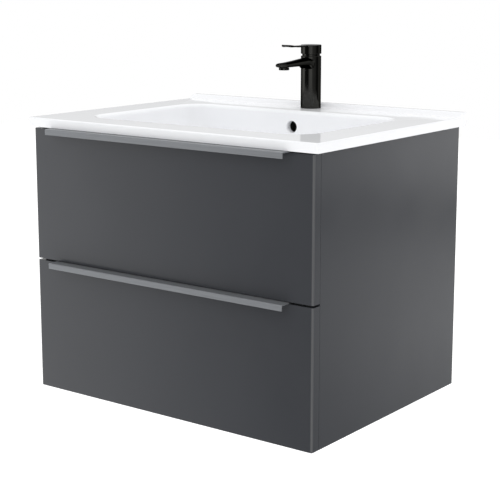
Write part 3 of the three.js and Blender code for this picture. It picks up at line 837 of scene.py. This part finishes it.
def add_wall_rail():
    low, high = span("wall_rail")
    gauge, fold = 2, high.z - 12
    outline = fillet([
        (high.y, low.z, 0.4), (high.y, fold, 2.2), (low.y + gauge, fold, 0.6), (low.y + gauge, high.z, 0.6),
        (low.y, high.z, 0.6), (low.y, fold - gauge, 2.2), (high.y - gauge, fold - gauge, 0.6),
        (high.y - gauge, low.z, 0.4),
    ], steps=4)
    strip = prism(outline, low.x, high.x, "x", edge=0.3, steps=2)
    z = low.z + 24
    slots = [prism(rectangle(x - 14, x + 14, z - 3.6, z + 3.6, 3.59), high.y - gauge - 2, high.y + 2, "y",
                   edge=0.1, steps=1) for x in range(-240, 241, 60)]
    heads = [screw_head(Vector((x, high.y - gauge, z)), 6, 3, "y", -1) for x in (-240, -60, 60, 240)]
    stand_for("wall_rail", merge(combine(strip, "DIFFERENCE", *slots), *heads))


def add_hanger(side):
    """A flat steel case screwed to the cabinet's side, with a hook that reaches over the rail."""
    low, high = span("hanger_" + side)
    rail_low, rail_high = span("wall_rail")
    hook = rail_low.y + 2.3
    case_back = middle("back_rail_upper").y - 8.3
    outline = fillet([
        (low.y, low.z, 3), (case_back, low.z, 1), (case_back, rail_high.z + 0.3, 1),
        (hook, rail_high.z + 0.3, 0.5), (hook, rail_high.z - 8, 0.4), (hook + 3, rail_high.z - 8, 0.8),
        (hook + 3, high.z, 2.5), (low.y, high.z, 4),
    ], steps=5)
    stand_for("hanger_" + side, prism(outline, low.x, high.x, "x", edge=0.8))
    low, high = span("hanger_screw_" + side)
    centre = middle("hanger_screw_" + side)
    head = screw_head(Vector((centre.x, high.y, centre.z)), (high.x - low.x) / 2, high.y - low.y, "y", -1)
    stand_for("hanger_screw_" + side, head)


# ---- Drawer boxes ----

def add_box_screws(drawer):
    """The heads of the screws that hold a drawer front to its box."""
    low, high = span(drawer + "_box_front")
    heads = [screw_head(Vector((x, high.y, low.z + share * (high.z - low.z))), 3.6, 0.9, "y")
             for x in (-190, -60, 60, 190) for share in (0.3, 0.75)]
    show(drawer + "_front_screws", merge(*heads), BODY_OF[drawer + "_box_front"], "zinc_steel")


add_basin()
add_waste()
add_tap_body()
add_lever()
add_tap_fixing()
for drawer in ("lower_drawer", "upper_drawer"):
    add_front(drawer)
    add_handle(drawer)
    add_box_screws(drawer)
    for side in ("left", "right"):
        add_balls(drawer, side)
        for member in ("outer", "middle", "inner"):
            add_runner(drawer, side, member)
add_wall_rail()
for side in ("left", "right"):
    add_hanger(side)
for name, cad_piece in frame["nodes"].items():
    if not cad_piece.hide_render:
        keep(name)


# ---- Room, light and camera ----

# Brightness along a full turn, from the back by the left (0.25), the front (0.5) and the right (0.75):
# a wide box at the left, a narrow one in front and one at the right.
SOFT_BOXES = [
    (0.0, 0.35), (0.2, 0.5), (0.27, 1.3), (0.34, 1.3), (0.36, 1.38), (0.372, 1.32), (0.38, 0.86),
    (0.389, 0.52), (0.397, 0.23), (0.406, 0.08), (0.51, 0.06), (0.54, 0.8), (0.59, 1.05), (0.615, 1.05),
    (0.65, 0.4), (0.74, 0.25), (0.78, 0.06), (0.83, 0.06), (0.87, 0.35), (0.906, 0.45), (0.914, 0.8),
    (0.922, 1.0), (0.94, 1.0), (1.0, 0.35),
]
# Brightness from straight down (0) by level (0.5) to straight up (1). The right box fades towards the
# floor and a dark bar crosses it.
RIGHT_BOX_HEIGHT = [
    (0.33, 0.45), (0.344, 0.58), (0.356, 0.78), (0.368, 0.92), (0.393, 0.92), (0.401, 0.74), (0.4115, 0.32),
    (0.418, 0.48), (0.4237, 1.08), (0.436, 1.18),
]
CEILING = [(0.5, 0.5), (0.58, 0.53), (0.75, 0.72), (1.0, 0.8)]
GLOW = [(0.0, 0.85), (0.5, 0.78), (0.7, 1.04), (1.0, 1.34)]
FLOOR_DROP = 0.38  # the cabinet hangs this far above the floor
FLOOR_SIZE = 12


def add_floor():
    bpy.ops.mesh.primitive_plane_add(size=FLOOR_SIZE, location=(0, 0, cad_bounds[0].z - FLOOR_DROP))
    floor = bpy.context.object
    floor.name = "floor"
    floor.visible_glossy = False
    made, nodes, links, shader = material("pale_floor")
    tone = noise(nodes, links, object_space(nodes, links, (2, 2, 2)))
    links.new(ramp(nodes, links, tone, [(0.3, 0.9), (0.7, 0.92)]), shader.inputs["Base Color"])
    shader.inputs["Roughness"].default_value = 0.9
    shader.inputs["Emission Color"].default_value = (1, 1, 1, 1)
    shader.inputs["Emission Strength"].default_value = 0.25
    floor.data.materials.append(made)


def add_world():
    """White for the camera, soft boxes for what shines, and an even glow for what is matt."""
    world = bpy.data.worlds.new("studio")
    scene.world = world
    world.use_nodes = True
    nodes, links = world.node_tree.nodes, world.node_tree.links
    nodes.clear()

    def calculate(operation, *values):
        made = nodes.new("ShaderNodeMath")
        made.operation = operation
        for socket, value in zip(made.inputs, values):
            if isinstance(value, (int, float)):
                socket.default_value = value
            else:
                links.new(value, socket)
        return made.outputs["Value"]

    def mixed(share, first, second):
        made = nodes.new("ShaderNodeMix")
        made.data_type = "RGBA"
        links.new(share, made.inputs["Factor"])
        links.new(first, made.inputs["A"])
        links.new(second, made.inputs["B"])
        return made.outputs["Result"]

    direction = nodes.new("ShaderNodeTexCoord")
    split = nodes.new("ShaderNodeSeparateXYZ")
    links.new(direction.outputs["Generated"], split.inputs["Vector"])
    x, y, z = split.outputs
    front_turn = calculate("ARCTAN2", x, calculate("MULTIPLY", y, -1))
    turn = calculate("MULTIPLY_ADD", front_turn, 1 / (2 * math.pi), 0.5)
    height = calculate("MULTIPLY_ADD", z, 0.5, 0.5)

    boxes = ramp(nodes, links, turn, SOFT_BOXES)
    barred = calculate("MULTIPLY", boxes, ramp(nodes, links, height, RIGHT_BOX_HEIGHT))
    left_of_it = ramp(nodes, links, turn, [(0.84, 1.0), (0.87, 0.0)])
    boxes = mixed(left_of_it, barred, boxes)
    above = ramp(nodes, links, height, [(0.49, 0.0), (0.53, 1.0)])
    shine = mixed(above, boxes, ramp(nodes, links, height, CEILING))
    glow = ramp(nodes, links, height, GLOW)
    ray = nodes.new("ShaderNodeLightPath")
    light = mixed(ray.outputs["Is Glossy Ray"], glow, shine)

    studio = nodes.new("ShaderNodeBackground")
    links.new(light, studio.inputs["Color"])
    white = nodes.new("ShaderNodeBackground")
    white.inputs["Color"].default_value = (1, 1, 1, 1)
    chosen = nodes.new("ShaderNodeMixShader")
    links.new(ray.outputs["Is Camera Ray"], chosen.inputs["Fac"])
    links.new(studio.outputs["Background"], chosen.inputs[1])
    links.new(white.outputs["Background"], chosen.inputs[2])
    output = nodes.new("ShaderNodeOutputWorld")
    links.new(chosen.outputs["Shader"], output.inputs["Surface"])


def add_camera():
    """Looks down on the right front corner, a little above the basin."""
    data = bpy.data.cameras.new("camera")
    camera = bpy.data.objects.new("camera", data)
    scene.collection.objects.link(camera)
    camera.location = (1.3948, -2.0833, 0.3230)
    aim = Vector((-0.0044, -0.2206, -0.1161))
    camera.rotation_euler = (aim - camera.location).to_track_quat("-Z", "Y").to_euler()
    data.lens = 95.77
    data.sensor_width = 36
    data.shift_y = -0.0542
    data.clip_end = 50
    scene.camera = camera


add_floor()
add_world()
add_camera()
scene.view_settings.view_transform = "Standard"
